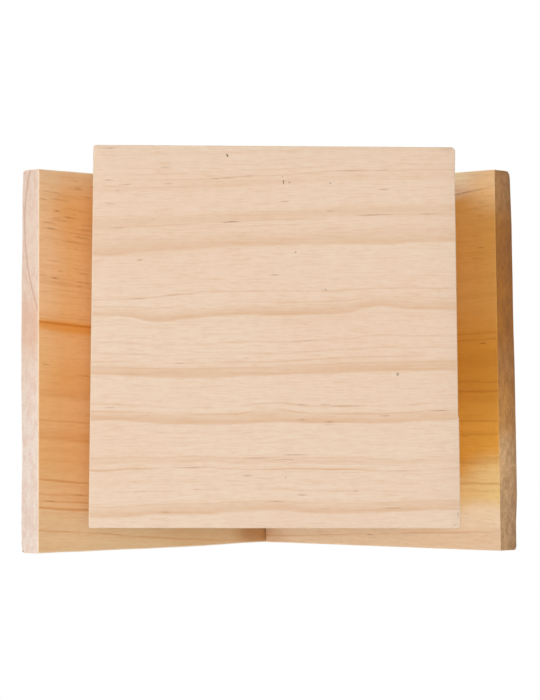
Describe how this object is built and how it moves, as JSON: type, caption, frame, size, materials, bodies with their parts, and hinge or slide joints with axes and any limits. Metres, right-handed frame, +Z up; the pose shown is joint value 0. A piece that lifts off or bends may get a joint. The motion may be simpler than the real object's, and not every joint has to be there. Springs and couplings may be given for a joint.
{
  "type": "bee hotel",
  "caption": "Small gable-roofed bee hotel of bare pine boards, with a drilled nesting block under a shelf and stacked bored bamboo canes above it, and a keyhole for hanging.",
  "frame": {"origin": "under the middle of the whole house, at the level of the base board's underside", "axes": "+Z up to the ridge, +Y to the back that hangs on a wall, so the open front faces -Y and the roof's eaves are at +X and -X"},
  "size_m": [0.1946, 0.1516, 0.191],
  "materials": {
    "base_pine": "bare sanded pine, very pale, with faint tan growth lines",
    "wall_pine": "bare sanded pine",
    "panel_pine": "bare sanded pine",
    "roof_pine": "bare honey-coloured pine with resin flecks and dark growth lines",
    "block_wood": "bare sawn wood, drilled",
    "dowel_beech": "bare turned beech",
    "bamboo": "natural bamboo, smooth skin and fibrous cut ends"
  },
  "bodies": {
    "root": {"base_board": "base_pine", "left_wall": "wall_pine", "right_wall": "wall_pine", "back_panel": "panel_pine", "shelf": "wall_pine", "right_roof_board": "roof_pine", "left_roof_board": "roof_pine", "nesting_block": "block_wood", "left_front_dowel": "dowel_beech", "left_rear_dowel": "dowel_beech", "right_front_dowel": "dowel_beech", "right_rear_dowel": "dowel_beech", "bamboo_cane_01": "bamboo", "bamboo_cane_02": "bamboo", "bamboo_cane_03": "bamboo", "bamboo_cane_04": "bamboo", "bamboo_cane_05": "bamboo", "bamboo_cane_06": "bamboo", "bamboo_cane_07": "bamboo", "bamboo_cane_08": "bamboo", "bamboo_cane_09": "bamboo", "bamboo_cane_10": "bamboo", "bamboo_cane_11": "bamboo", "bamboo_cane_12": "bamboo", "bamboo_cane_13": "bamboo", "bamboo_cane_14": "bamboo", "bamboo_cane_15": "bamboo", "bamboo_cane_16": "bamboo", "bamboo_cane_17": "bamboo", "bamboo_cane_18": "bamboo", "bamboo_cane_19": "bamboo", "bamboo_cane_20": "bamboo", "bamboo_cane_21": "bamboo", "bamboo_cane_22": "bamboo", "bamboo_cane_23": "bamboo", "bamboo_cane_24": "bamboo", "bamboo_cane_25": "bamboo", "bamboo_cane_26": "bamboo", "bamboo_cane_27": "bamboo", "bamboo_cane_28": "bamboo", "bamboo_cane_29": "bamboo", "bamboo_cane_30": "bamboo", "bamboo_cane_31": "bamboo", "bamboo_cane_32": "bamboo", "bamboo_cane_33": "bamboo", "bamboo_cane_34": "bamboo", "bamboo_cane_35": "bamboo", "bamboo_cane_36": "bamboo"}
  },
  "joints": []
}
